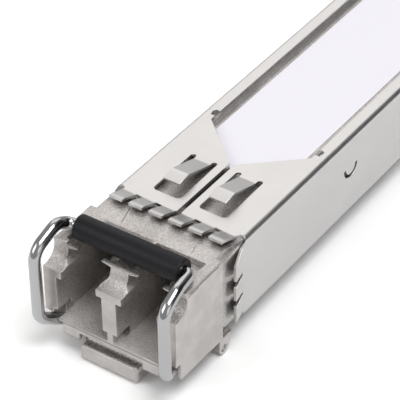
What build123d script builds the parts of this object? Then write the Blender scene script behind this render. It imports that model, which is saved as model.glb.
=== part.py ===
from build123d import *
import os

os.makedirs("parts", exist_ok=True)

# Pluggable optical transceiver with a duplex fibre port and a wire bail.
# X runs across the module, Y from the port face to the card edge, Z up.
# The origin is on the port face, at mid width, level with the underside of the sheet sleeve.

# Overall sizes
module_length = 56.5
nose_width = 13.7
nose_top = 8.6
nose_drop = 0.1
nose_length = 6.9
body_width = 13.4
body_height = 8.5
sheet = 0.25
bend_radius = 0.45
stop_to_face = 9.0
shoulder_to_face = 11.5
seat_gap = 0.05
nose_edge_radius = 0.18

# Fibre ports
port_pitch = 6.25
port_width = 4.74
port_floor = 1.31
port_guide_top = 5.85
port_depth = 9.6
port_axis_height = 3.58
latch_slot_width = 2.49
latch_slot_end = 4.2
chamber_start = 3.0
chamber_top = 7.6
ledge_height = 0.78
ledge_overhang = 0.565
neck_overhang = 0.175
lip_setback = 1.7
lip_thickness = 0.42
corner_relief_width = 0.45
corner_relief_height = 0.95
corner_relief_end = 1.9

# Groove under the top edge of the nose's sides
edge_groove = 0.13
edge_groove_front = 2.1
edge_groove_stop = 0.55
edge_groove_height = 8.47

# Recess for the bail's grip on top of the nose
recess_front = 2.2
recess_rear = 5.5
recess_jog = 0.35
recess_jog_x = 0.85
recess_half_width = 5.85
recess_depth = 0.65

# Housing behind the nose
top_slope_start = 8.3
top_slope_end = 9.8
tongue_pocket_depth = 0.4
label_seat_depth = 0.5
label_thickness = 0.1
label_width = 9.2
label_end = 54.0
housing_wall = 1.15
partition_thickness = 1.6
ledge_width = 0.6
roof_underside = 6.9
rear_skirt = 0.45
rear_mouth_start = 45.5
rear_shoulder = 2.0
housing_end = 56.0

# Circuit board
board_thickness = 1.0
board_bottom = 2.25
board_tongue_width = 9.2
board_width = 10.2
board_start = 20.0
board_end = 53.3
tongue_start = 44.0
ledge_start = 19.5
contact_pitch = 0.8
contact_width = 0.56
contact_length = 2.2
contact_setback = 0.5
contact_thickness = 0.04
contacts_per_side = 10

# Bail wire and grip
wire_diameter = 1.1
arm_x = 6.6
arm_front = -1.25
arm_foot = 1.75
left_knee = 9.0
left_arch_y = 1.8
left_arch_top = 9.95
right_knee = 8.7
right_arch_x = 6.42
right_arch_y = 0.9
right_arch_top = 9.5
right_corner_x = 5.95
crossbar_y = 3.4
crossbar_height = 9.22
wire_end_x = 1.7
wire_corner_x = 5.6
end_bend = 0.9
foot_bend = 1.2
knee_bend = 1.6
arch_bend = 1.5
left_corner_bend = 0.9
right_corner_bend = 0.6
bail_axis_y = 1.5
bail_axis_height = 0.2
swing_gap = 0.05
grip_diameter = 2.26
grip_length = 10.8

# Latch rocker, its pin and the ears that carry the pin
rocker_width = 6.0
rocker_front = -0.38
rocker_block_bottom = -1.72
rocker_top = 0.33
rocker_block_top = -0.1
rocker_step = 0.55
rocker_clasp_top = 0.58
rocker_clasp_rear = 2.5
rocker_block_rear = 2.3
rocker_waist_bottom = -0.9
rocker_tail_top = 0.5
rocker_tail_start = 8.3
rocker_tail_end = 14.4
rocker_lug_radius = 0.6
boss_width = 2.6
boss_length = 2.6
boss_height = 0.45
pivot_setback = 0.15
pivot_height = -1.2
pin_radius = 0.35
running_gap = 0.05
ear_thickness = 1.15
ear_end_radius = 0.65
ear_reach = 1.15
ear_top = 0.05
cavity_width = 6.3
notch_width = 6.6
notch_top = 1.06
notch_lip = 0.5
notch_lip_under = 0.66
cavity_step = 9.8
cavity_rear_top = 1.6

# Channels for the bail's ends in the nose's underside
channel_top = 1.06
channel_front = 0.45
channel_rear = 2.3
channel_skin = 0.35
corner_channel_x = 5.05
corner_channel_top = 1.8
skin_notch = 0.65

# Sheet sleeve
flap_front = 10.35
flap_seam_gap = 0.45
seam_rear = 18.5
flap_rear = 24.2
flap_corner_x = 6.15
flange_width = 1.7
relief_radius = 0.32
relief_length = 0.9
finger_count = 6
finger_pitch = 2.06
finger_width = 1.4
finger_reach = 2.1
finger_rise = 0.75
finger_lap = 0.3
finger_bend = 0.1
finger_slope = 1.65
finger_bend_radius = 0.8
side_bend_radius = 0.6
side_flap_bottom = 0.6
side_flap_top = 7.75
side_flap_drop = 1.15
side_slit_heights = (4.5, 2.35)
side_slit_rise = 0.25
side_slit_width = 0.7
side_slit_root_width = 0.3
side_finger_root = 10.2
side_finger_reach = 1.6
side_finger_flare = 0.36
corner_slot_radius = 0.42
bottom_finger_x = 4.9
bottom_finger_width = 1.8
bottom_front = 10.2
tongue_x = 2.4
tongue_window_width = 2.85
tongue_window_front = 11.8
tongue_root = 17.6
tongue_width = 1.75
tongue_tip = 12.7
tongue_crest = 14.0
tongue_rise = 1.05
tongue_tip_rise = 0.85
tongue_bend = 0.3
tongue_bend_radius = 0.8
tongue_slot_width = 0.5
rocker_window_end = 15.8
bottom_end = 46.1
lance_y = 27.75
lance_height = 5.2
lance_radius = 1.15
lance_slit = 0.35
bias_tab_width = 1.1
bias_tab_x = 2.3
bias_tab_length = 2.6
bias_tab_rise = 1.3

# Optical subassemblies
ferrule_radius = 0.625
split_sleeve_wall = 0.18
split_sleeve_slot = 0.3
barrel_radius = 1.45
barrel_front = 6.0
barrel_flange_radius = 2.1
barrel_flange_length = 1.2
barrel_hole_gap = 0.05
bore_depth = 4.9
can_radius = 1.8
can_length = 2.6
can_header_radius = 2.05
can_header_length = 0.9
flex_thickness = 0.12
flex_width = 3.0
flex_lap = 1.6
clamp_length = 1.0
clamp_top = 3.1
clamp_clearance = 0.1
clamp_gap = 0.05

# Chips on the board: name, across, along, width, length, height
chips = (
    ("driver_chip", -2.0, 26.0, 4.0, 4.0, 0.9),
    ("amplifier_chip", 2.6, 25.0, 3.0, 3.0, 0.75),
    ("controller_chip", 0.4, 33.5, 5.0, 5.0, 0.85),
    ("memory_chip", -2.4, 40.5, 3.0, 2.0, 0.7),
)
pad_thickness = 0.6
passive_length = 1.0
passive_width = 0.5
passive_height = 0.5
passive_row_places = (29.6, 38.2, 43.4)
passive_row_counts = (4, 5, 4)
passive_pitch = 1.9

# Values that follow from the sizes above
driver = chips[0]
half_nose = nose_width / 2
half_body = body_width / 2
half_inner = half_body - sheet - seat_gap
body_top = body_height - sheet
board_top = board_bottom + board_thickness
half_port = port_width / 2
port_x = port_pitch / 2
ledge_top = port_guide_top + ledge_height
recess_floor = nose_top - recess_depth
label_seat = body_top - label_seat_depth
wire_radius = wire_diameter / 2
driver_top = board_top + driver[5]
partition_rear = port_depth + partition_thickness
cavity_half = half_inner - housing_wall
mouth_half = half_inner - rear_skirt
mouth_top = board_top + rear_shoulder
rocker_half = rocker_width / 2
pivot_y = nose_length + pivot_setback
pin_half = half_nose - 0.15
can_front = partition_rear + barrel_flange_length
can_rear = can_front + can_length
header_rear = can_rear + can_header_length


def save(piece, name):
    """Label one finished piece and write it under its own name."""
    piece.part.label = name
    export_step(piece.part, f"parts/{name}.step")


def block(x0, x1, y0, y1, z0, z1, mode=Mode.ADD):
    """Add or cut a box between two corners in the part that is being built."""
    with Locations(((x0 + x1) / 2, (y0 + y1) / 2, (z0 + z1) / 2)):
        Box(x1 - x0, y1 - y0, z1 - z0, mode=mode)


# Die-cast housing: the nose with both ports, the top wall and the side rails
with BuildPart() as housing:
    with BuildSketch(Plane.XZ):
        with Locations((0, (nose_top - nose_drop) / 2)):
            RectangleRounded(nose_width, nose_top + nose_drop, nose_edge_radius)
    extrude(amount=-nose_length)
    with BuildSketch(Plane.XZ.offset(-nose_length)):
        with Locations((0, (body_top + sheet) / 2)):
            RectangleRounded(2 * half_inner, body_top - sheet, bend_radius - sheet + seat_gap)
    extrude(amount=-(housing_end - nose_length))
    with BuildSketch(Plane.YZ):
        with BuildLine():
            Polyline(
                (nose_length, body_top),
                (top_slope_end, body_top),
                (top_slope_start, nose_top),
                (nose_length, nose_top),
                close=True,
            )
        make_face()
    extrude(amount=half_inner - bend_radius + sheet, both=True)
    # Front of the walls: a ledge, a hollow curve and the set-back top lip
    with BuildSketch(Plane.YZ):
        with BuildLine():
            lip_under = nose_top - lip_thickness
            Line((-1, ledge_top), (0, ledge_top))
            neck_bow = (lip_setback * 0.86, (ledge_top + lip_under) / 2 - 0.22)
            ThreePointArc((0, ledge_top), neck_bow, (lip_setback, lip_under))
            Polyline((lip_setback, lip_under), (lip_setback, nose_top + 1), (-1, nose_top + 1))
            Line((-1, nose_top + 1), (-1, ledge_top))
        make_face()
    extrude(amount=half_nose + 1, both=True, mode=Mode.SUBTRACT)
    # Ports, each with a guide section, a latch chamber and a slot through the roof
    for side in (-1, 1):
        x = side * port_x
        block(x - half_port, x + half_port, -1, port_depth, port_floor, port_guide_top, Mode.SUBTRACT)
        block(
            x - half_port, x + half_port, chamber_start, port_depth, port_guide_top, chamber_top,
            Mode.SUBTRACT,
        )
        half_gate = half_port - ledge_overhang
        half_neck = half_port - neck_overhang
        half_slot = latch_slot_width / 2
        with BuildSketch(Plane.XZ):
            with BuildLine():
                Polyline(
                    (x - half_gate, port_guide_top - 0.01),
                    (x - half_gate, ledge_top),
                    (x - half_neck, ledge_top + 0.45),
                    (x - half_neck, lip_under - 0.2),
                    (x - half_slot, lip_under),
                    (x - half_slot, nose_top + 0.1),
                    (x + half_slot, nose_top + 0.1),
                    (x + half_slot, lip_under),
                    (x + half_neck, lip_under - 0.2),
                    (x + half_neck, ledge_top + 0.45),
                    (x + half_gate, ledge_top),
                    (x + half_gate, port_guide_top - 0.01),
                    close=True,
                )
            make_face()
        extrude(amount=-latch_slot_end, mode=Mode.SUBTRACT)
        for wall in (-1, 1):
            face_x = x + wall * half_port
            block(
                min(face_x, face_x + wall * corner_relief_width),
                max(face_x, face_x + wall * corner_relief_width),
                -1, corner_relief_end,
                port_floor, port_floor + corner_relief_height, Mode.SUBTRACT,
            )
    # Recess that the bail's grip lies in, with a jog in its rear edge
    block(
        -recess_half_width, recess_half_width, recess_front, recess_rear,
        recess_floor, nose_top + 1, Mode.SUBTRACT,
    )
    block(
        recess_jog_x, recess_half_width, recess_rear, recess_rear + recess_jog,
        recess_floor, nose_top + 1, Mode.SUBTRACT,
    )
    # The front lips are hollowed along the path of the grip, which swings over them
    swing_radius = (
        ((crossbar_y - bail_axis_y) ** 2 + (crossbar_height - bail_axis_height) ** 2) ** 0.5
        - grip_diameter / 2 - swing_gap
    )
    with BuildSketch(Plane.YZ):
        with Locations(((bail_axis_y + recess_front) / 2, nose_top)):
            Rectangle(recess_front - bail_axis_y + 0.1, 1.4)
        with Locations((bail_axis_y, bail_axis_height)):
            Circle(swing_radius, mode=Mode.SUBTRACT)
    extrude(amount=grip_length / 2 + swing_gap, both=True, mode=Mode.SUBTRACT)
    # Shadow groove under the top edge of each side
    for side in (-1, 1):
        low_x, high_x = sorted((side * (half_nose - edge_groove), side * (half_nose + 1)))
        block(
            low_x, high_x, edge_groove_front, nose_length - edge_groove_stop,
            edge_groove_height - edge_groove, edge_groove_height, Mode.SUBTRACT,
        )
    # Cavity for the latch rocker, open below
    block(-notch_width / 2, notch_width / 2, -1, notch_lip, -1, notch_lip_under, Mode.SUBTRACT)
    block(-notch_width / 2, notch_width / 2, notch_lip, nose_length, -1, notch_top, Mode.SUBTRACT)
    block(-cavity_width / 2, cavity_width / 2, nose_length, cavity_step, -1, notch_top, Mode.SUBTRACT)
    block(
        -cavity_width / 2, cavity_width / 2, cavity_step, partition_rear, -1, cavity_rear_top,
        Mode.SUBTRACT,
    )
    # Channels for the bail's turned-in ends
    for side in (-1, 1):
        skin = half_nose - channel_skin
        spans = (
            (rocker_half, wire_corner_x, channel_front, channel_rear, channel_top),
            (corner_channel_x, skin, -1, channel_rear, channel_top),
            (port_x + half_port, skin, -1, channel_rear, corner_channel_top),
            (skin - 0.1, half_nose + 1, -1, skin_notch, corner_channel_top),
        )
        for inner, outer, y0, y1, top in spans:
            low_x, high_x = sorted((side * inner, side * outer))
            block(low_x, high_x, y0, y1, -1, top, Mode.SUBTRACT)
    # Interior: optics and board go in from below
    block(-cavity_half, cavity_half, partition_rear, rear_mouth_start, -1, board_top, Mode.SUBTRACT)
    block(-cavity_half, cavity_half, partition_rear, ledge_start, board_top, roof_underside, Mode.SUBTRACT)
    upper_half = cavity_half - ledge_width
    block(-upper_half, upper_half, ledge_start, rear_mouth_start, board_top, roof_underside, Mode.SUBTRACT)
    block(-mouth_half, mouth_half, rear_mouth_start, housing_end + 1, -1, mouth_top, Mode.SUBTRACT)
    # Pedestal under the roof that takes the driver chip's heat
    pedestal_corners = (
        driver[1] - driver[3] / 2, driver[1] + driver[3] / 2,
        driver[2] - driver[4] / 2, driver[2] + driver[4] / 2,
    )
    block(*pedestal_corners, driver_top + pad_thickness, roof_underside)
    # Pocket under the spring tongues and the seat of the label
    pocket_half = half_body - flange_width
    block(
        -pocket_half, pocket_half, tongue_window_front - 0.3, seam_rear,
        body_top - tongue_pocket_depth, body_top + 1, Mode.SUBTRACT,
    )
    block(
        -pocket_half, pocket_half, seam_rear - 0.5, housing_end + 1,
        label_seat, body_top + 1, Mode.SUBTRACT,
    )
    # Holes through the partition for both optical barrels
    partition_middle = port_depth + partition_thickness / 2
    for side in (-1, 1):
        with Locations(Location((side * port_x, partition_middle, port_axis_height), (90, 0, 0))):
            Cylinder(barrel_radius + barrel_hole_gap, partition_thickness + 1, mode=Mode.SUBTRACT)
    # Ears that carry the rocker's pin
    for side in (-1, 1):
        ear_plane = Plane.YZ.offset(side * half_nose if side < 0 else half_nose - ear_thickness)
        with BuildSketch(ear_plane):
            with BuildLine():
                Polyline(
                    (pivot_y - ear_end_radius, ear_top),
                    (pivot_y - ear_end_radius, pivot_height),
                    (pivot_y + ear_end_radius, pivot_height),
                    (pivot_y + ear_reach - 0.15, pivot_height / 2),
                    (pivot_y + ear_reach, ear_top),
                    close=True,
                )
            make_face()
            with Locations((pivot_y, pivot_height)):
                Circle(ear_end_radius)
        extrude(amount=ear_thickness)
        ear_middle = side * (half_nose - ear_thickness / 2)
        with Locations(Location((ear_middle, pivot_y, pivot_height), (0, 90, 0))):
            Cylinder(pin_radius, ear_thickness + 1, mode=Mode.SUBTRACT)
save(housing, "housing")

# Sheet sleeve: one folded sheet round the housing, with its flaps meeting on top
with BuildPart() as sleeve:
    with BuildSketch(Plane.XZ.offset(-bottom_front)):
        with Locations((0, body_height / 2)):
            RectangleRounded(body_width, body_height, bend_radius)
            RectangleRounded(
                body_width - 2 * sheet, body_height - 2 * sheet, bend_radius - sheet, mode=Mode.SUBTRACT,
            )
    extrude(amount=-(module_length - bottom_front))
    # Window behind the flaps, the seam between them and their notched corners
    flange_edge = half_body - flange_width
    with BuildSketch(Plane.XY.offset(body_top - 0.1)):
        with BuildLine():
            slope = (flap_rear - seam_rear) / (flap_corner_x - flap_seam_gap / 2)
            Polyline(
                (0, seam_rear),
                (flap_seam_gap / 2, seam_rear),
                (flange_edge, seam_rear + slope * (flange_edge - flap_seam_gap / 2)),
                (flange_edge, module_length + 1),
                (-flange_edge, module_length + 1),
                (-flange_edge, seam_rear + slope * (flange_edge - flap_seam_gap / 2)),
                (-flap_seam_gap / 2, seam_rear),
                close=True,
            )
        make_face()
        with Locations((0, (bottom_front + seam_rear) / 2)):
            Rectangle(flap_seam_gap, seam_rear - bottom_front + 1)
        for side in (-1, 1):
            with Locations((side * (flange_edge + 0.1), flap_rear - 0.35)):
                Rectangle(relief_radius * 2 + 0.5, 0.01 + relief_radius)
            with Locations((side * flange_edge, flap_rear)):
                SlotCenterToCenter(relief_length, relief_radius * 2)
    extrude(amount=1, mode=Mode.SUBTRACT)
    # Windows round the spring tongues
    with BuildSketch(Plane.XY.offset(body_top - 0.1)):
        for side in (-1, 1):
            x = side * tongue_x
            half_window = tongue_window_width / 2
            with BuildLine():
                Polyline(
                    (x - half_window, tongue_window_front),
                    (x + half_window, tongue_window_front),
                    (x + tongue_width / 2 + tongue_slot_width, tongue_root),
                    (x + tongue_width / 2, tongue_root),
                    (x - tongue_width / 2, tongue_root),
                    (x - tongue_width / 2 - tongue_slot_width, tongue_root),
                    close=True,
                )
            make_face()
        fillet(
            [corner for corner in vertices() if corner.Y < tongue_window_front + 0.1],
            radius=0.4,
        )
        for side in (-1, 1):
            for edge in (-1, 1):
                reach = side * tongue_x + edge * (tongue_width + tongue_slot_width) / 2
                with Locations((reach, tongue_root)):
                    Circle(tongue_slot_width / 2)
    extrude(amount=1, mode=Mode.SUBTRACT)
    # Opening round the rocker, the rear opening and the slits of the side lances
    block(-cavity_width / 2, cavity_width / 2, 0, rocker_window_end, -1, 1, Mode.SUBTRACT)
    block(-half_body - 1, half_body + 1, bottom_end, module_length + 1, -1, sheet + 0.3, Mode.SUBTRACT)
    with BuildSketch(Plane.YZ.offset(-half_body - 1)):
        with Locations((lance_y, lance_height)):
            Circle(lance_radius)
            Circle(lance_radius - lance_slit, mode=Mode.SUBTRACT)
            with Locations((0, lance_radius)):
                Rectangle(lance_radius * 2 + 1, lance_radius * 2, mode=Mode.SUBTRACT)
    extrude(amount=body_width + 2, mode=Mode.SUBTRACT)
    # Front edge: the side sheet starts at its fingers' roots, the flaps a little further back
    block(-half_body + 0.6, half_body - 0.6, 0, flap_front, body_top - 0.1, body_height + 1, Mode.SUBTRACT)
    # Spring fingers on top
    first = -(finger_count - 1) / 2 * finger_pitch
    for index in range(finger_count):
        finger_x = first + index * finger_pitch
        with BuildSketch(Plane.YZ.offset(finger_x - finger_width / 2)):
            with BuildLine():
                mid_height = body_top + sheet / 2
                FilletPolyline(
                    (flap_front + finger_lap, mid_height),
                    (flap_front - finger_bend, mid_height),
                    (flap_front - finger_slope, mid_height + finger_rise * 0.88),
                    (flap_front - finger_reach, mid_height + finger_rise),
                    radius=finger_bend_radius,
                )
            trace(line_width=sheet)
        extrude(amount=finger_width)
    # Spring fingers on the sides: a flared flap, cut off slantwise above and slotted into three
    for side in (-1, 1):
        with BuildSketch(Plane.XY.offset(side_flap_bottom)):
            with BuildLine():
                root_x = side * (half_body - sheet / 2)
                tip_x = side * (half_body - sheet / 2 + side_finger_flare)
                FilletPolyline(
                    (root_x, side_finger_root + finger_lap),
                    (root_x, side_finger_root - finger_bend),
                    (tip_x, side_finger_root - side_finger_reach),
                    radius=side_bend_radius,
                )
            trace(line_width=sheet)
        extrude(amount=side_flap_top - side_flap_bottom)
    with BuildSketch(Plane.YZ.offset(-half_body - 1)):
        tip_y = side_finger_root - side_finger_reach - 0.3
        with BuildLine():
            Polyline(
                (side_finger_root, side_flap_top),
                (tip_y, side_flap_top - side_flap_drop),
                (tip_y, side_flap_top + 0.5),
                (side_finger_root, side_flap_top + 0.5),
                close=True,
            )
        make_face()
        for slit in side_slit_heights:
            with BuildLine():
                Polyline(
                    (tip_y, slit),
                    (side_finger_root - 0.1, slit + side_slit_rise),
                    (side_finger_root - 0.1, slit + side_slit_rise + side_slit_root_width),
                    (tip_y, slit + side_slit_width),
                    close=True,
                )
            make_face()
    extrude(amount=body_width + 2, mode=Mode.SUBTRACT)
    # Rounded slots at the top corners, between the top and the side fingers
    for side in (-1, 1):
        with Locations((side * (half_body - corner_slot_radius), side_finger_root + 0.15, body_height)):
            Cylinder(corner_slot_radius, 1.5, mode=Mode.SUBTRACT)
    # Spring fingers below, one each side of the rocker
    for side in (-1, 1):
        with BuildSketch(Plane.YZ.offset(side * bottom_finger_x - bottom_finger_width / 2)):
            with BuildLine():
                FilletPolyline(
                    (bottom_front + finger_lap, sheet / 2),
                    (bottom_front - finger_bend, sheet / 2),
                    (bottom_front - side_finger_reach, sheet / 2 - side_finger_flare),
                    radius=side_bend_radius,
                )
            trace(line_width=sheet)
        extrude(amount=bottom_finger_width)
    # Raised spring tongues
    for side in (-1, 1):
        with BuildSketch(Plane.YZ.offset(side * tongue_x - tongue_width / 2)):
            with BuildLine():
                mid_height = body_top + sheet / 2
                FilletPolyline(
                    (tongue_root + finger_lap, mid_height),
                    (tongue_root - tongue_bend, mid_height),
                    (tongue_crest, mid_height + tongue_rise),
                    (tongue_tip, mid_height + tongue_tip_rise),
                    radius=tongue_bend_radius,
                )
            trace(line_width=sheet)
        extrude(amount=tongue_width)
    # Bias tabs that stand over the rocker's tail
    for side in (-1, 1):
        with BuildSketch(Plane.YZ.offset(side * bias_tab_x - bias_tab_width / 2)):
            with BuildLine():
                FilletPolyline(
                    (rocker_window_end + 0.3, sheet / 2),
                    (rocker_window_end - 0.1, sheet / 2),
                    (rocker_window_end - 0.7, sheet / 2 + bias_tab_rise),
                    (rocker_window_end - bias_tab_length, sheet / 2 + bias_tab_rise),
                    radius=0.25,
                )
            trace(line_width=sheet)
        extrude(amount=bias_tab_width)
save(sleeve, "sleeve")

# Blank label in the recess of the top wall
with BuildPart() as label:
    with BuildSketch(Plane.XY.offset(label_seat)):
        with BuildLine():
            label_nose = seam_rear - 0.2
            label_shoulder = label_nose + slope * label_width / 2
            Polyline(
                (0, label_nose),
                (label_width / 2, label_shoulder),
                (label_width / 2, label_end),
                (-label_width / 2, label_end),
                (-label_width / 2, label_shoulder),
                close=True,
            )
        make_face()
    extrude(amount=label_thickness)
save(label, "label")

# Circuit board with its narrow card edge
with BuildPart() as circuit_board:
    block(-board_width / 2, board_width / 2, board_start, tongue_start, board_bottom, board_top)
    block(-board_tongue_width / 2, board_tongue_width / 2, tongue_start, board_end, board_bottom, board_top)
    chamfer(circuit_board.edges().filter_by(Axis.X).group_by(Axis.Y)[-1], length=0.25)
save(circuit_board, "circuit_board")

# Card-edge contacts, ten on each face of the board
with BuildPart() as edge_contacts:
    contact_y = board_end - contact_setback - contact_length / 2
    for height in (board_bottom - contact_thickness / 2, board_top + contact_thickness / 2):
        with Locations((0, contact_y, height)):
            with GridLocations(contact_pitch, 1, contacts_per_side, 1):
                Box(contact_width, contact_length, contact_thickness)
save(edge_contacts, "edge_contacts")

# Chips, each soldered flat on the board
for name, across, along, width, length, height in chips:
    with BuildPart() as chip:
        block(
            across - width / 2, across + width / 2, along - length / 2, along + length / 2,
            board_top, board_top + height,
        )
        chamfer(chip.edges().group_by(Axis.Z)[-1], length=0.12)
    save(chip, name)

# Small capacitors and resistors in rows on the board
with BuildPart() as passives:
    for row_y, row_count in zip(passive_row_places, passive_row_counts):
        with Locations((0, row_y, board_top + passive_height / 2)):
            with GridLocations(passive_pitch, 1, row_count, 1):
                Box(passive_length, passive_width, passive_height)
save(passives, "passives")

# Heat pad between the driver chip and the pedestal under the roof
with BuildPart() as heat_pad:
    block(*pedestal_corners, driver_top, driver_top + pad_thickness)
save(heat_pad, "heat_pad")

# Transmitter on the left and receiver on the right: barrel, split sleeve, can and flex
for side, kind in ((-1, "transmitter"), (1, "receiver")):
    x = side * port_x
    axis_plane = Plane(origin=(x, 0, port_axis_height), x_dir=(1, 0, 0), z_dir=(0, 1, 0))
    sleeve_outer = ferrule_radius + split_sleeve_wall
    with BuildPart() as barrel:
        with BuildSketch(axis_plane.offset(barrel_front)):
            Circle(barrel_radius)
        extrude(amount=partition_rear - barrel_front)
        with BuildSketch(axis_plane.offset(partition_rear)):
            Circle(barrel_flange_radius)
        extrude(amount=barrel_flange_length)
        with BuildSketch(axis_plane.offset(barrel_front)):
            Circle(sleeve_outer)
        extrude(amount=bore_depth, mode=Mode.SUBTRACT)
        chamfer(barrel.edges().filter_by(GeomType.CIRCLE).group_by(Axis.Y)[0], length=0.2)
    save(barrel, f"{kind}_barrel")
    with BuildPart() as split_sleeve:
        with BuildSketch(axis_plane.offset(barrel_front + 0.3)):
            Circle(sleeve_outer)
            Circle(ferrule_radius, mode=Mode.SUBTRACT)
            with Locations((0, -sleeve_outer)):
                Rectangle(split_sleeve_slot, sleeve_outer, mode=Mode.SUBTRACT)
        extrude(amount=bore_depth - 0.3)
    save(split_sleeve, f"{kind}_split_sleeve")
    with BuildPart() as can:
        with BuildSketch(axis_plane.offset(can_front)):
            Circle(can_radius)
        extrude(amount=can_length)
        with BuildSketch(axis_plane.offset(can_rear)):
            Circle(can_header_radius)
        extrude(amount=can_header_length)
        chamfer(can.edges().filter_by(GeomType.CIRCLE).group_by(Axis.Y)[0], length=0.3)
    save(can, f"{kind}_can")
    with BuildPart() as flex:
        half_flex = flex_width / 2
        flex_top = board_top + flex_thickness
        block(
            x - half_flex, x + half_flex, header_rear, header_rear + flex_thickness,
            flex_top - 0.5, port_axis_height + 1.2,
        )
        block(x - half_flex, x + half_flex, header_rear, board_start + flex_lap, board_top, flex_top)
    save(flex, f"{kind}_flex")

# Clamp that holds both barrels against the partition from behind
with BuildPart() as barrel_clamp:
    clamp_bottom = cavity_rear_top + clamp_clearance
    block(-cavity_half, cavity_half, can_front, can_front + clamp_length, clamp_bottom, clamp_top)
    for side in (-1, 1):
        clamp_middle = can_front + clamp_length / 2
        with Locations(Location((side * port_x, clamp_middle, port_axis_height), (90, 0, 0))):
            Cylinder(can_radius + clamp_gap, clamp_length + 1, mode=Mode.SUBTRACT)
save(barrel_clamp, "barrel_clamp")

# Pin on which the rocker turns, held in both ears
with BuildPart() as rocker_pin:
    with Locations(Location((0, pivot_y, pivot_height), (0, 90, 0))):
        Cylinder(pin_radius, 2 * pin_half)
save(rocker_pin, "rocker_pin")

# Latch rocker: push block in front, pivot lug, tail with the latch boss
with BuildPart() as latch_rocker:
    with BuildSketch(Plane.YZ):
        with BuildLine():
            Polyline(
                (rocker_front, rocker_block_bottom),
                (rocker_front, rocker_block_top),
                (rocker_step, rocker_block_top),
                (rocker_step + 0.2, rocker_clasp_top),
                (rocker_clasp_rear, rocker_clasp_top),
                (rocker_clasp_rear + 0.3, rocker_top),
                (rocker_tail_start - 0.6, rocker_top),
                (rocker_tail_start, rocker_tail_top),
                (rocker_tail_end, rocker_tail_top),
                (rocker_tail_end, 0),
                (stop_to_face, 0),
                (pivot_y + 0.9, rocker_waist_bottom),
                (rocker_block_rear + 0.8, rocker_waist_bottom),
                (rocker_block_rear, rocker_block_bottom),
                close=True,
            )
        make_face()
        with Locations((pivot_y, pivot_height)):
            Circle(rocker_lug_radius)
    extrude(amount=rocker_half, both=True)
    fillet(latch_rocker.edges().filter_by(Axis.Y).group_by(Axis.Y)[0], radius=0.4)
    with BuildSketch(Plane.YZ):
        with BuildLine():
            Polyline(
                (shoulder_to_face, 0.1),
                (shoulder_to_face, -boss_height),
                (shoulder_to_face + boss_length - boss_height, -boss_height),
                (shoulder_to_face + boss_length + 0.1, 0.1),
                close=True,
            )
        make_face()
    extrude(amount=boss_width / 2, both=True)
    with Locations(Location((0, pivot_y, pivot_height), (0, 90, 0))):
        Cylinder(pin_radius + running_gap, rocker_width + 1, mode=Mode.SUBTRACT)
    # Groove across the push block that holds the bail's ends
    with Locations(Location((0, bail_axis_y, bail_axis_height), (0, 90, 0))):
        Cylinder(wire_radius + running_gap, rocker_width + 1, mode=Mode.SUBTRACT)
save(latch_rocker, "latch_rocker")

# Bail: one bent wire
with BuildPart() as bail_wire:
    with BuildLine() as wire_path:
        FilletPolyline(
            (-wire_end_x, bail_axis_y, bail_axis_height),
            (-wire_corner_x, bail_axis_y, bail_axis_height),
            (-arm_x, arm_front, arm_foot),
            (-arm_x, arm_front, left_knee),
            (-arm_x, left_arch_y, left_arch_top),
            (-arm_x, crossbar_y, crossbar_height),
            (right_corner_x, crossbar_y, crossbar_height),
            (right_arch_x, right_arch_y, right_arch_top),
            (arm_x, arm_front, right_knee),
            (arm_x, arm_front, arm_foot),
            (wire_corner_x, bail_axis_y, bail_axis_height),
            (wire_end_x, bail_axis_y, bail_axis_height),
            radius=[
                end_bend, foot_bend, knee_bend, arch_bend, left_corner_bend,
                right_corner_bend, arch_bend, knee_bend, foot_bend, end_bend,
            ],
        )
    with BuildSketch(Plane(origin=wire_path.line @ 0, z_dir=wire_path.line % 0)):
        Circle(wire_radius)
    sweep()
save(bail_wire, "bail_wire")

# Grip: a plastic tube on the bail's crossbar
with BuildPart() as bail_grip:
    with Locations(Location((0, crossbar_y, crossbar_height), (0, 90, 0))):
        Cylinder(grip_diameter / 2, grip_length)
        Cylinder(wire_radius, grip_length, mode=Mode.SUBTRACT)
save(bail_grip, "bail_grip")
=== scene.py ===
from math import cos, pi, radians, sin, tan

import bmesh
import bpy
from mathutils import Matrix, Vector


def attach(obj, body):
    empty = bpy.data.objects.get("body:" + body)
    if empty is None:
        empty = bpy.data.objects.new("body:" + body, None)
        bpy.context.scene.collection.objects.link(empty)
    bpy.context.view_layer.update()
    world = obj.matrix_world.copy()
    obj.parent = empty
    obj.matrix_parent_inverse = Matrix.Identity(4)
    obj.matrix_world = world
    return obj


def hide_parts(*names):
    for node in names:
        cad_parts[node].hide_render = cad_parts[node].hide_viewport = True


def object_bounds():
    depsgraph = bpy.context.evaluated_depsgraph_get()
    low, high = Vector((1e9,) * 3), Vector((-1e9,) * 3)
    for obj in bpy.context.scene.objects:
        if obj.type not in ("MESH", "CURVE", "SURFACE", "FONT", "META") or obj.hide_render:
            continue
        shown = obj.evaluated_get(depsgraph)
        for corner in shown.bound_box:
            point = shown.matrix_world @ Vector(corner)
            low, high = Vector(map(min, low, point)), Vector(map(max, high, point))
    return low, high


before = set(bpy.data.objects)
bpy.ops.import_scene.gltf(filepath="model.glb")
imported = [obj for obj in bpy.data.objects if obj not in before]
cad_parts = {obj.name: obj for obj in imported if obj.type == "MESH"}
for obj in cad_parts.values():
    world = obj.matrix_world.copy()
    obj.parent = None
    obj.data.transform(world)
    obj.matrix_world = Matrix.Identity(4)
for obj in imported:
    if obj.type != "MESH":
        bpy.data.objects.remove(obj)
solid_box = [[float(value) for value in corner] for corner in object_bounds()]


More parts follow.
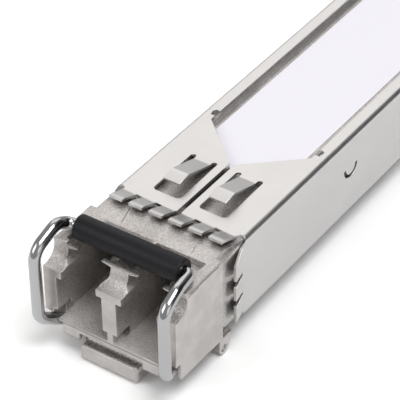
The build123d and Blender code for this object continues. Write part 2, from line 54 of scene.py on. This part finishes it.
# Die-cast housing
# One zinc casting, nickel plated, with a grainy skin where it was blasted and a smooth one
# where it slides in its cage. It holds both fibre ports, the recess for the grip on top and
# the ears of the rocker's pin.
class Field:
    """A value that varies over a surface, with the arithmetic that joins such values."""

    def __init__(self, finish, socket):
        self.finish = finish
        self.socket = socket

    def join(self, operation, first, second):
        return self.finish.node("ShaderNodeMath", {"operation": operation}, {0: first, 1: second})

    def __add__(self, other):
        return self.join("ADD", self, other)

    def __sub__(self, other):
        return self.join("SUBTRACT", self, other)

    def __rsub__(self, other):
        return self.join("SUBTRACT", other, self)

    def __mul__(self, other):
        return self.join("MULTIPLY", self, other)

    __radd__ = __add__
    __rmul__ = __mul__


class Finish:
    """One finish of this object: a Principled shader and the nodes that vary it."""

    def __init__(self, name, **fixed):
        self.material = bpy.data.materials.new(name)
        self.material.use_nodes = True
        self.tree = self.material.node_tree
        self.shader = self.tree.nodes["Principled BSDF"]
        for socket, value in fixed.items():
            self.put(socket.replace("_", " ").title().replace("Ior", "IOR"), value)

    def feed(self, target, value):
        if isinstance(value, Field):
            self.tree.links.new(value.socket, target)
        elif isinstance(value, tuple) and len(value) == 3 and len(target.default_value) == 4:
            target.default_value = (*value, 1.0)
        else:
            target.default_value = value

    def put(self, socket, value):
        self.feed(self.shader.inputs[socket], value)

    def node(self, kind, settings, inputs, output=0):
        made = self.tree.nodes.new(kind)
        for key, value in settings.items():
            setattr(made, key, value)
        for key, value in inputs.items():
            self.feed(made.inputs[key], value)
        return Field(self, made.outputs[output])

    def place(self, axis):
        """The distance along one axis of the piece, in metres."""
        where = self.node("ShaderNodeTexCoord", {}, {}, "Object")
        return self.node("ShaderNodeSeparateXYZ", {}, {0: where}, axis.upper())

    def aside(self):
        """The distance from the middle of the module to either side."""
        return self.node("ShaderNodeMath", {"operation": "ABSOLUTE"}, {0: self.place("x")})

    def grain(self, scale, detail=3.0, stretch=(1.0, 1.0, 1.0)):
        """Noise on the piece's own coordinates, stretched along an axis where it is asked to be."""
        where = self.node("ShaderNodeTexCoord", {}, {}, "Object")
        drawn = self.node("ShaderNodeMapping", {}, {"Vector": where, "Scale": stretch})
        sizes = {"Vector": drawn, "Scale": scale, "Detail": detail, "Roughness": 0.55}
        return self.node("ShaderNodeTexNoise", {}, sizes)

    def spread(self, field, low, high, bottom, top):
        """Brings a field's span from low to high onto bottom to top."""
        ends = {"Value": field, "From Min": low, "From Max": high, "To Min": bottom, "To Max": top}
        return self.node("ShaderNodeMapRange", {}, ends)

    def within(self, field, low, high, soft):
        """One between two ends and none outside, with soft flanks. An end that is None is open."""
        rise = fall = None
        if low is not None:
            rise = self.spread(field, low - soft, low + soft, 0.0, 1.0)
        if high is not None:
            fall = self.spread(field, high - soft, high + soft, 1.0, 0.0)
        if rise is None:
            return fall
        return rise if fall is None else rise * fall

    def zone(self, **spans):
        """Where spans along x, y, z or aside overlap: (low, high, soft) of each, in millimetres."""
        overlap = None
        for axis, ends in spans.items():
            low, high, soft = (None if end is None else end / 1000 for end in ends)
            field = self.aside() if axis == "aside" else self.place(axis)
            mask = self.within(field, low, high, soft)
            overlap = mask if overlap is None else overlap * mask
        return overlap

    def scored(self, start, end, half_width):
        """A thin score in the top face from start to end, in metres, mostly fore and aft."""
        lean = (end[0] - start[0]) / (end[1] - start[1])
        across = self.place("x") - (self.place("y") - start[1]) * lean - start[0]
        front, rear = sorted((start[1], end[1]))
        length = self.within(self.place("y"), front, rear, 0.0002)
        return self.within(across, -half_width, half_width, half_width * 0.7) * length

    def blend(self, mask, first, second):
        sockets = {0: mask, 6: first, 7: second}
        return self.node("ShaderNodeMix", {"data_type": "RGBA"}, sockets, 2)

    def vary_colour(self, noise, first, second):
        """Drifts the colour between two tones with the middle of a noise."""
        self.put("Base Color", self.blend(self.spread(noise, 0.35, 0.65, 0.0, 1.0), first, second))

    def vary_roughness(self, noise, smooth, rough):
        """Drifts the roughness between two values with the middle of a noise."""
        self.put("Roughness", self.spread(noise, 0.3, 0.7, smooth, rough))

    def relief(self, height, depth, strength):
        bump = self.node("ShaderNodeBump", {}, {"Height": height, "Distance": depth, "Strength": strength})
        self.put("Normal", bump)


cast = Finish("cast zinc")
cast_skin = cast.grain(6200.0, detail=5.0)
speckle = cast.spread(cast_skin, 0.36, 0.6, 0.0, 1.0)
blasted = cast.zone(x=(-6.8, 6.8, 0.02), y=(0.2, None, 0.1))
neck = cast.zone(y=(6.92, 11.5, 0.02), z=(-1.0, 7.9, 0.1))
port_bed = cast.zone(z=(1.2, 1.36, 0.02), y=(0.1, 9.6, 0.05))

# Scores on the nose's top, and painted shade along the rear edge of the grip's recess there
top_face = cast.zone(z=(8.525, None, 0.025))
scores = cast.scored((-0.00378, 0.00851), (-0.00317, 0.00638), 0.00005)
scores = scores + cast.scored((0.0038, 0.0074), (0.00415, 0.0063), 0.00003)
recess_shade_line = cast.place("y") + cast_skin * 0.0003 + cast.grain(1500.0) * 0.0002
recess_edge_shade = cast.spread(recess_shade_line, 0.00612, 0.0062, 1.0, 0.0) * cast.zone(x=(-4.4, 0.6, 0.3))
recess_edge_shade = recess_edge_shade * cast.spread(cast.place("y"), 0.0054, 0.0055, 0.0, 0.8)

# Painted shade in the beds of the pockets, slots and hollows, under the sheet's fingers and tongues and on
# the sill
label_notch_shade = cast.zone(aside=(5.4, 6.4, 0.03), y=(23.5, 24.7, 0.03))
lance_pocket_shade = cast.zone(aside=(5.85, None, 0.05), y=(26.2, 29.2, 0.1), z=(3.8, 5.6, 0.1))
seam_shade = cast.zone(x=(-0.5, 0.5, 0.1), y=(9.8, 23.5, 0.1))
# Painted shade on the window floors, deeper beside the tongues, and painted shadows under the finger tips
window_floor_shade = cast.zone(y=(11.8, 18.5, 0.5), z=(7.25, None, 0.05))
tongue_shadow_sides = cast.zone(x=(2.9, 4.6, 0.5)) + cast.zone(x=(-2.4, -0.8, 0.5))
finger_tip_shadows = cast.zone(y=(8.2, 10.4, 0.5), z=(7.95, None, 0.05))
finger_tip_shadows = finger_tip_shadows * cast.spread(cast.grain(700.0), 0.35, 0.6, 0.35, 0.9)
# Painted shade on the rocker's shelf, the lips, throats, arm hollow, walls' feet, the label seat's sides and
# the sill
rocker_shelf_shade = cast.zone(z=(-0.2, 0.02, 0.03), y=(-1.9, 1.3, 0.1))
lip_shade = cast.zone(z=(8.15, 8.32, 0.03), y=(1.84, 3.4, 0.06))
throat_shade = cast.zone(z=(6.9, 7.4, 0.3), y=(0.8, 1.65, 0.3))
throat_shade = throat_shade * cast.spread(cast.aside(), 0.0055, 0.0056, 1.0, 0.2)
arm_hollow_shade = cast.zone(x=(5.5, 6.83, 0.03), z=(6.6, 8.2, 0.1), y=(0.2, 1.8, 0.05))
foot_pocket_shade = cast.zone(x=(0.27, 0.72, 0.02)) + cast.zone(x=(-5.98, -5.53, 0.02))
foot_pocket_shade = foot_pocket_shade * cast.zone(y=(1.35, None, 0.25))
foot_pocket_shade = foot_pocket_shade * cast.zone(y=(None, 2.15, 0.05), z=(1.25, 2.4, 0.05))
seat_side_shade = cast.zone(aside=(5.05, 5.4, 0.1), y=(22.9, None, 0.1))
sill_shade_line = cast.zone(z=(1.04, 1.18, 0.02), y=(None, 0.025, 0.015))

# The scores and all the painted shade above darken the plating
scores_and_shade = (scores + recess_edge_shade) * top_face + label_notch_shade + lance_pocket_shade + seam_shade
scores_and_shade = scores_and_shade + (rocker_shelf_shade + lip_shade) * (0.95 - speckle * 0.45)
scores_and_shade = scores_and_shade + (window_floor_shade * (tongue_shadow_sides * 0.5 + 0.25) + finger_tip_shadows) * (1.0 - speckle * 0.4)
scores_and_shade = scores_and_shade + (throat_shade * 0.5 + arm_hollow_shade * 0.75) * (1.0 - speckle * 0.5)
scores_and_shade = scores_and_shade + foot_pocket_shade * 0.8 + seat_side_shade * 0.6 + sill_shade_line * 0.7
cast_tone = cast.spread(cast.grain(420.0, detail=2.0), 0.35, 0.65, 0.35, 0.65)
cast_tone = cast_tone + (speckle - 0.5) * (blasted * 0.4 + 0.1)
# Painted light: the nose's right side face is made lighter
cast_tone = cast_tone + cast.zone(x=(6.83, None, 0.01)) * 0.2
plating = cast.blend(cast_tone, (0.42, 0.395, 0.38), (0.86, 0.83, 0.81))
cast.put("Base Color", cast.blend(scores_and_shade * 0.8, plating, (0.12, 0.11, 0.105)))
cast.put("Metallic", 0.85 - port_bed * 0.5)
cast.put("Roughness", cast.spread(cast_skin, 0.3, 0.7, 0.3, 0.5) - neck * 0.2)
cast.relief(cast_skin * (blasted * (1.0 - neck * 0.8) * 0.85 + 0.15), 0.00009, 0.6)
burnish = Finish("burnished edges", base_color=(0.9, 0.875, 0.855), metallic=1.0)
burnish.vary_roughness(burnish.grain(1800.0), 0.18, 0.4)


def has_room(edge, ease):
    """Whether the faces beside an edge are wide enough to ease it, with no sharp corner at its ends."""
    needed = 2.2 * ease
    straight_on = 0.9
    sharp = radians(35)
    along = (edge.verts[1].co - edge.verts[0].co).normalized()
    for vert in edge.verts:
        for other in vert.link_edges:
            side = other.other_vert(vert).co - vert.co
            turns_off = abs(side.normalized().dot(along)) < straight_on
            if other is not edge and turns_off and side.length < needed:
                return False
        for corner in vert.link_loops:
            if corner.face in edge.link_faces and corner.calc_angle() < sharp:
                return False
    return True


def eased_copy(node, name, ease, steps=2, crease=20.0):
    """A merged copy of a solid, its crisp edges eased, its curves smooth and its broad faces flat."""
    broad = 0.00022
    merged_under = 2e-7
    flat_under = radians(0.4)
    crisp_over = radians(32.0)
    body = bmesh.new()
    body.from_mesh(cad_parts[node].data)
    bmesh.ops.remove_doubles(body, verts=body.verts, dist=merged_under)
    bmesh.ops.dissolve_limit(
        body, angle_limit=flat_under, use_dissolve_boundaries=False,
        verts=body.verts, edges=body.edges, delimit=set(),
    )
    crisp = [
        edge for edge in body.edges
        if len(edge.link_faces) == 2 and edge.calc_face_angle() > crisp_over and has_room(edge, ease)
    ]
    eased = bmesh.ops.bevel(
        body, geom=crisp, offset=ease, offset_type="OFFSET", segments=steps, profile=0.5,
        affect="EDGES", clamp_overlap=False, material=-1,
    )
    for face in eased["faces"]:
        face.material_index = 1
    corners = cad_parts[node].bound_box
    lowest, highest = corners[0], corners[6]
    for vert in body.verts:
        for axis in range(3):
            vert.co[axis] = min(max(vert.co[axis], lowest[axis]), highest[axis])
    for face in body.faces:
        face.smooth = face.calc_area() / face.calc_perimeter() < broad
    for edge in body.edges:
        edge.smooth = len(edge.link_faces) == 2 and edge.calc_face_angle() < radians(crease)
    return finished(body, name)


def finished(body, name):
    """Turns a bmesh into an object of the scene."""
    mesh = bpy.data.meshes.new(name)
    body.to_mesh(mesh)
    body.free()
    piece = bpy.data.objects.new(name, mesh)
    bpy.context.scene.collection.objects.link(piece)
    return piece


def dress(piece, finishes, body, node):
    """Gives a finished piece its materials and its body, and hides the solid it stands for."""
    piece.data.materials.clear()
    for finish in finishes:
        piece.data.materials.append(finish.material)
    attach(piece, body)
    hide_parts(node)


seat_half = 0.005
seat_front = 0.0228
seat_level = 0.0079
rail_fold = 0.0062
seat_gain = 0.00035


def open_seat(piece):
    """Widens the label's recess towards the fold of the rails that the sheet has beside it."""
    for vert in piece.data.vertices:
        aside = abs(vert.co.x)
        on_rail = seat_half - 0.0001 < aside < rail_fold
        if on_rail and vert.co.y > seat_front and vert.co.z > seat_level:
            moved = seat_gain * min(1.0, (rail_fold - aside) / (rail_fold - seat_half))
            vert.co.x += moved if vert.co.x > 0 else -moved


nose_casting = eased_copy("housing", "nose_casting", 0.00007)
open_seat(nose_casting)
dress(nose_casting, (cast, burnish), "module", "housing")


# Folded sleeve
# Nickel-plated spring steel sheet, 0.25 mm, folded round the casting with its flaps meeting
# on top. Its fingers, tongues and lances are cut from the same sheet, and their cut faces
# are painted near black as shade.
sheet = Finish("sleeve sheet", metallic=1.0)
rolled = sheet.grain(2600.0, detail=4.0, stretch=(4.0, 0.4, 4.0))
sheet.vary_roughness(rolled, 0.3, 0.38)
sheet.vary_colour(sheet.grain(260.0, detail=2.0), (0.785, 0.775, 0.77), (0.805, 0.795, 0.785))
sheet.relief(rolled, 0.000004, 0.3)
# Painted shade: the cut faces get a near-black colour
shaded_cut_sheet = Finish("shaded cut sheet", base_color=(0.055, 0.053, 0.052), metallic=0.9)
shaded_cut_sheet.vary_roughness(shaded_cut_sheet.grain(3200.0, stretch=(1.0, 1.0, 0.3)), 0.38, 0.55)
folded_sleeve = eased_copy("sleeve", "folded_sleeve", 0.00002)
for face in folded_sleeve.data.polygons:
    x, y, z = face.center * 1000
    in_top_wall = z > 8.0 and abs(x) < 6.5
    in_side_cuts = 0.5 < z < 8 and abs(x) > 6.3 and (y < 11 or 26 < y < 29.5)
    cut_on_top = in_top_wall and abs(face.normal.z) < 0.8
    cut_on_side = in_side_cuts and abs(face.normal.x) < 0.6
    # The cut faces take the near-black painted shade of the second finish
    face.material_index = 1 if cut_on_top or cut_on_side else 0
    on_tongue = 1.7 < abs(x) < 3.7 and 12.4 < y < 17.8 and z > 8.55
    if on_tongue:
        face.use_smooth = True
open_seat(folded_sleeve)
dress(folded_sleeve, (sheet, shaded_cut_sheet), "module", "sleeve")


# Label
# A blank film with a faint satin coat, cut to the outline of the recess in the top wall and
# stuck flat in it.
film = Finish("label film", base_color=(0.92, 0.905, 0.97), coat_weight=0.15, coat_roughness=0.25)
film_tooth = film.grain(2600.0)
film.vary_roughness(film_tooth, 0.3, 0.42)
film.relief(film_tooth, 0.000004, 0.3)
blank_label = eased_copy("label", "blank_label", 0.00002)
dress(blank_label, (film, film), "module", "label")


# Latch rocker and its pin
# A small casting of the same zinc, well rounded at its edges. It turns on a steel pin that
# both ears of the housing hold.
rocker_casting = eased_copy("latch_rocker", "rocker_casting", 0.0003, steps=4, crease=26.0)
dress(rocker_casting, (cast, burnish), "rocker", "latch_rocker")
drawn_steel = Finish("drawn steel", base_color=(0.7, 0.7, 0.7), metallic=1.0)
drawn_steel.vary_roughness(drawn_steel.grain(3000.0, stretch=(0.2, 1.0, 1.0)), 0.16, 0.3)
pivot_pin = eased_copy("rocker_pin", "pivot_pin", 0.00008)
dress(pivot_pin, (drawn_steel, drawn_steel), "module", "rocker_pin")


# Bail wire
# One length of polished stainless spring wire, 1.1 mm, bent up both sides of the nose,
# over its top corners and across. Its turned-in ends lie in the rocker's groove.
wire_radius = 0.00055
wire_sides = 28
bend_step = radians(7)
wire_route = [
    (Vector(point) / 1000, bend / 1000)
    for point, bend in (
        ((-1.7, 1.5, 0.2), 0), ((-5.6, 1.5, 0.2), 0.9), ((-6.6, -1.25, 1.75), 1.2),
        ((-6.6, -1.25, 9.0), 1.6), ((-6.6, 1.8, 9.95), 1.5), ((-6.6, 3.4, 9.22), 0.9),
        ((5.95, 3.4, 9.22), 0.6), ((6.42, 0.9, 9.5), 1.5), ((6.6, -1.25, 8.7), 1.6),
        ((6.6, -1.25, 1.75), 1.2), ((5.6, 1.5, 0.2), 0.9), ((1.7, 1.5, 0.2), 0),
    )
]
wire_body = bmesh.new()
spot = wire_route[0][0]
heading = (wire_route[1][0] - spot).normalized()
facing = heading.to_track_quat("Z", "Y").to_matrix().to_4x4()
bmesh.ops.create_circle(
    wire_body, cap_ends=True, segments=wire_sides, radius=wire_radius,
    matrix=Matrix.Translation(spot) @ facing,
)
end_edges = list(wire_body.edges)
for index in range(1, len(wire_route)):
    corner, bend = wire_route[index]
    angle = 0.0
    if bend:
        onward = (wire_route[index + 1][0] - corner).normalized()
        angle = heading.angle(onward)
    run = (corner - spot).length - bend * tan(angle / 2)
    drawn = bmesh.ops.extrude_edge_only(wire_body, edges=end_edges)["geom"]
    drawn_verts = [part for part in drawn if isinstance(part, bmesh.types.BMVert)]
    bmesh.ops.translate(wire_body, verts=drawn_verts, vec=heading * run)
    drawn_edges = [part for part in drawn if isinstance(part, bmesh.types.BMEdge)]
    end_edges = [edge for edge in drawn_edges if all(vert in drawn_verts for vert in edge.verts)]
    spot = spot + heading * run
    if bend:
        axis = heading.cross(onward).normalized()
        centre = spot + axis.cross(heading) * bend
        spun = bmesh.ops.spin(
            wire_body, geom=end_edges, cent=centre, axis=axis, dvec=(0, 0, 0), angle=angle,
            steps=max(4, round(angle / bend_step)),
            use_merge=False, use_normal_flip=False, use_duplicate=False,
        )["geom_last"]
        end_edges = [part for part in spun if isinstance(part, bmesh.types.BMEdge)]
        spot = centre + Matrix.Rotation(angle, 3, axis) @ (spot - centre)
        heading = onward
bmesh.ops.contextual_create(wire_body, geom=end_edges)
bmesh.ops.remove_doubles(wire_body, verts=wire_body.verts, dist=1e-7)
bmesh.ops.recalc_face_normals(wire_body, faces=wire_body.faces)
for face in wire_body.faces:
    face.smooth = len(face.verts) == 4
bent_bail = finished(wire_body, "bent_bail")
polished_wire = Finish("polished wire", base_color=(0.6, 0.6, 0.61), metallic=1.0)
polished_wire.vary_roughness(polished_wire.grain(2400.0, stretch=(1.0, 1.0, 0.15)), 0.08, 0.18)
dress(bent_bail, (polished_wire,), "bail", "bail_wire")


# Grip
# A matte black plastic tube on the bail's crossbar, where a finger pulls it. It was pushed
# on before the last bends were made, and its ends are softly rounded.
grip_half = 0.0054
grip_radius = 0.00113
grip_rounding = 0.00016
crossbar = Vector((0, 0.0034, 0.00922))
grip_body = bmesh.new()
wall_corners = (
    (-grip_half, wire_radius), (-grip_half, grip_radius), (grip_half, grip_radius), (grip_half, wire_radius),
)
rim = [grip_body.verts.new(Vector((x, 0, height)) + crossbar) for x, height in wall_corners]
wall_outline = [grip_body.edges.new((rim[index - 1], rim[index])) for index in range(len(rim))]
bmesh.ops.spin(
    grip_body, geom=wall_outline, cent=crossbar, axis=(1, 0, 0), dvec=(0, 0, 0), angle=2 * pi,
    steps=64, use_merge=True, use_normal_flip=False, use_duplicate=False,
)
bmesh.ops.remove_doubles(grip_body, verts=grip_body.verts, dist=1e-7)
bmesh.ops.recalc_face_normals(grip_body, faces=grip_body.faces)
end_rims = [edge for edge in grip_body.edges if edge.calc_face_angle(0) > radians(60)]
bmesh.ops.bevel(
    grip_body, geom=end_rims, offset=grip_rounding, offset_type="OFFSET", segments=4, profile=0.5,
    affect="EDGES", clamp_overlap=True, material=-1,
)
for face in grip_body.faces:
    face.smooth = True
grip_tube = finished(grip_body, "grip_tube")
plastic = Finish("grip plastic", base_color=(0.008, 0.008, 0.0105), specular_ior_level=0.3)
plastic_skin = plastic.grain(2600.0)
plastic.vary_roughness(plastic_skin, 0.38, 0.52)
plastic.relief(plastic_skin, 0.00001, 0.5)
dress(grip_tube, (plastic,), "bail", "bail_grip")


# Circuit board with its contacts and chips
# A green laminate with gold-plated contacts on both faces of its card edge. Its chips are
# moulded in black epoxy, and a silicone pad carries their heat to the housing.
def finish_solids(finish, nodes):
    """Gives solids that are shown as they are their finish."""
    for node in nodes:
        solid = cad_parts[node].data
        solid.materials.clear()
        solid.materials.append(finish.material)


laminate = Finish("board laminate", roughness=0.32, coat_weight=0.3, coat_roughness=0.15)
laminate.vary_colour(laminate.grain(1500.0), (0.016, 0.14, 0.06), (0.026, 0.19, 0.085))
finish_solids(laminate, ["circuit_board"])
gold = Finish("contact gold", base_color=(0.85, 0.62, 0.25), metallic=1.0)
gold.vary_roughness(gold.grain(1800.0, stretch=(1.0, 0.2, 1.0)), 0.16, 0.3)
finish_solids(gold, ["edge_contacts"])
epoxy = Finish("chip epoxy", base_color=(0.03, 0.03, 0.034))
epoxy_skin = epoxy.grain(4200.0)
epoxy.vary_roughness(epoxy_skin, 0.42, 0.6)
epoxy.relief(epoxy_skin, 0.00001, 0.6)
finish_solids(epoxy, ["driver_chip", "amplifier_chip", "controller_chip", "memory_chip"])
ceramic = Finish("fired ceramic", roughness=0.5)
ceramic.vary_colour(ceramic.grain(3800.0), (0.36, 0.25, 0.15), (0.5, 0.37, 0.25))
finish_solids(ceramic, ["passives"])
silicone = Finish("pad silicone", base_color=(0.4, 0.42, 0.5))
silicone_skin = silicone.grain(2000.0)
silicone.vary_roughness(silicone_skin, 0.65, 0.85)
silicone.relief(silicone_skin, 0.00003, 0.6)
finish_solids(silicone, ["heat_pad"])


# Optical subassemblies
# Two turned steel barrels with zirconia split sleeves, gold-plated cans and amber flexes,
# held against the partition by one dark plastic clamp.
turned_steel = Finish("turned steel", base_color=(0.66, 0.65, 0.64), metallic=1.0)
turned_steel.vary_roughness(turned_steel.grain(4000.0, stretch=(0.3, 1.0, 0.3)), 0.2, 0.36)
finish_solids(turned_steel, ["transmitter_barrel", "receiver_barrel"])
zirconia = Finish("zirconia", base_color=(0.9, 0.89, 0.85), coat_weight=0.4, coat_roughness=0.08)
zirconia.vary_roughness(zirconia.grain(800.0), 0.14, 0.24)
finish_solids(zirconia, ["transmitter_split_sleeve", "receiver_split_sleeve"])
plated = Finish("plated can", base_color=(0.82, 0.62, 0.3), metallic=1.0)
plated.vary_roughness(plated.grain(2400.0), 0.2, 0.34)
finish_solids(plated, ["transmitter_can", "receiver_can"])
amber = Finish("amber film", roughness=0.25, coat_weight=0.3, coat_roughness=0.1)
amber.vary_colour(amber.grain(1200.0), (0.48, 0.21, 0.03), (0.62, 0.3, 0.06))
finish_solids(amber, ["transmitter_flex", "receiver_flex"])
nylon = Finish("clamp nylon", base_color=(0.05, 0.05, 0.055))
nylon_skin = nylon.grain(2600.0)
nylon.vary_roughness(nylon_skin, 0.48, 0.64)
nylon.relief(nylon_skin, 0.00002, 0.5)
finish_solids(nylon, ["barrel_clamp"])


# Floor
# A plain matte paper under the module. The camera sees it as white, and the module's faces
# mirror it a little darker.
floor_height = solid_box[0][2]
floor_half = 1.5
floor_body = bmesh.new()
bmesh.ops.create_grid(
    floor_body, x_segments=1, y_segments=1, size=floor_half,
    matrix=Matrix.Translation((0, 0, floor_height)),
)
floor = finished(floor_body, "floor")
paper = Finish("paper floor", roughness=0.95)
seen = paper.node("ShaderNodeLightPath", {}, {}, "Is Camera Ray")
mirrored = paper.node("ShaderNodeLightPath", {}, {}, "Is Glossy Ray")
paper_tone = (0.77, 0.77, 0.77)
white_tone = (1.2, 1.2, 1.2)
paper.put("Base Color", paper.blend(seen + mirrored * 0.15, paper_tone, white_tone))
floor.data.materials.append(paper.material)

# Studio
# The room is an even grey, darker where the top wall and the bends mirror it and paler
# behind the module. Four softboxes light the nose, the top, the sides and the floor.
world = bpy.data.worlds.new("studio")
bpy.context.scene.world = world
world.use_nodes = True
backdrop = world.node_tree.nodes["Background"]
backdrop.inputs["Strength"].default_value = 1.0
outlook = world.node_tree.nodes.new("ShaderNodeTexCoord")
room_level = 0.32
room_zones = (
    ((0.45, -0.64, 0.62), 0.62, 0.93, 0.08, "MINIMUM"),
    ((-0.45, 0.87, 0.2), 0.86, 0.98, 0.5, "MAXIMUM"),
    ((0.62, 0.64, 0.45), 0.72, 0.97, 0.02, "MINIMUM"),
)
room_tones = []
for direction, outer, inner, level, joined in room_zones:
    toward = world.node_tree.nodes.new("ShaderNodeVectorMath")
    toward.operation = "DOT_PRODUCT"
    toward.inputs[1].default_value = direction
    world.node_tree.links.new(outlook.outputs["Generated"], toward.inputs[0])
    tone = world.node_tree.nodes.new("ShaderNodeMapRange")
    tone.interpolation_type = "SMOOTHSTEP"
    tone.inputs["From Min"].default_value = outer
    tone.inputs["From Max"].default_value = inner
    tone.inputs["To Min"].default_value = room_level
    tone.inputs["To Max"].default_value = level
    world.node_tree.links.new(toward.outputs["Value"], tone.inputs["Value"])
    room_tones.append((tone.outputs["Result"], joined))
brightness = room_tones[0][0]
for tone, joined in room_tones[1:]:
    zones = world.node_tree.nodes.new("ShaderNodeMath")
    zones.operation = joined
    world.node_tree.links.new(brightness, zones.inputs[0])
    world.node_tree.links.new(tone, zones.inputs[1])
    brightness = zones.outputs["Value"]
world.node_tree.links.new(brightness, backdrop.inputs["Color"])

softboxes = (
    ("behind", (-0.36, 0.53, 0.5), (0, 0.02, 0), 0.62, 0.9, (1.0, 0.975, 0.95)),
    ("front", (-0.32, -0.44, 0.42), (0, 0.01, 0), 0.4, 1.0, (1.0, 0.99, 0.98)),
    ("key", (0.2, 0.0, 0.66), (0, 0.01, 0), 0.4, 2.7, (1.0, 1.0, 1.0)),
    ("right", (0.5, -0.15, 0.2), (0, 0.01, 0), 0.3, 0.2, (0.97, 0.985, 1.0)),
)
for name, stand, aim, size, power, tint in softboxes:
    lamp = bpy.data.lights.new(name, "AREA")
    lamp.color = tint
    lamp.shape = "SQUARE"
    lamp.size = size
    lamp.energy = power
    softbox = bpy.data.objects.new(name, lamp)
    bpy.context.scene.collection.objects.link(softbox)
    turned = (Vector(aim) - Vector(stand)).to_track_quat("-Z", "Y").to_matrix().to_4x4()
    softbox.matrix_world = Matrix.Translation(stand) @ turned

# Camera
# A long lens that looks at the nose from the front right and above, and cuts the module off
# behind its side lance.
azimuth = radians(35.02)
elevation = radians(38.19)
roll = radians(-0.84)
aim = Vector((0.00386, 0.008, 0.01303))
distance = 0.1711
picture_width_px = 400
focal_length_px = 2074.7
back = Vector((sin(azimuth) * cos(elevation), -cos(azimuth) * cos(elevation), sin(elevation)))
level_right = Vector((cos(azimuth), sin(azimuth), 0))
upright = back.cross(level_right)
right = level_right * cos(roll) + upright * sin(roll)
up = upright * cos(roll) - level_right * sin(roll)
lens = bpy.data.cameras.new("camera")
lens.sensor_width = 36.0
lens.lens = focal_length_px / picture_width_px * lens.sensor_width
lens.clip_start = 0.01
lens.clip_end = 10.0
camera = bpy.data.objects.new("camera", lens)
bpy.context.scene.collection.objects.link(camera)
turned = Matrix((right, up, back)).transposed().to_4x4()
camera.matrix_world = Matrix.Translation(aim + back * distance) @ turned
bpy.context.scene.camera = camera
bpy.context.scene.view_settings.view_transform = "Standard"
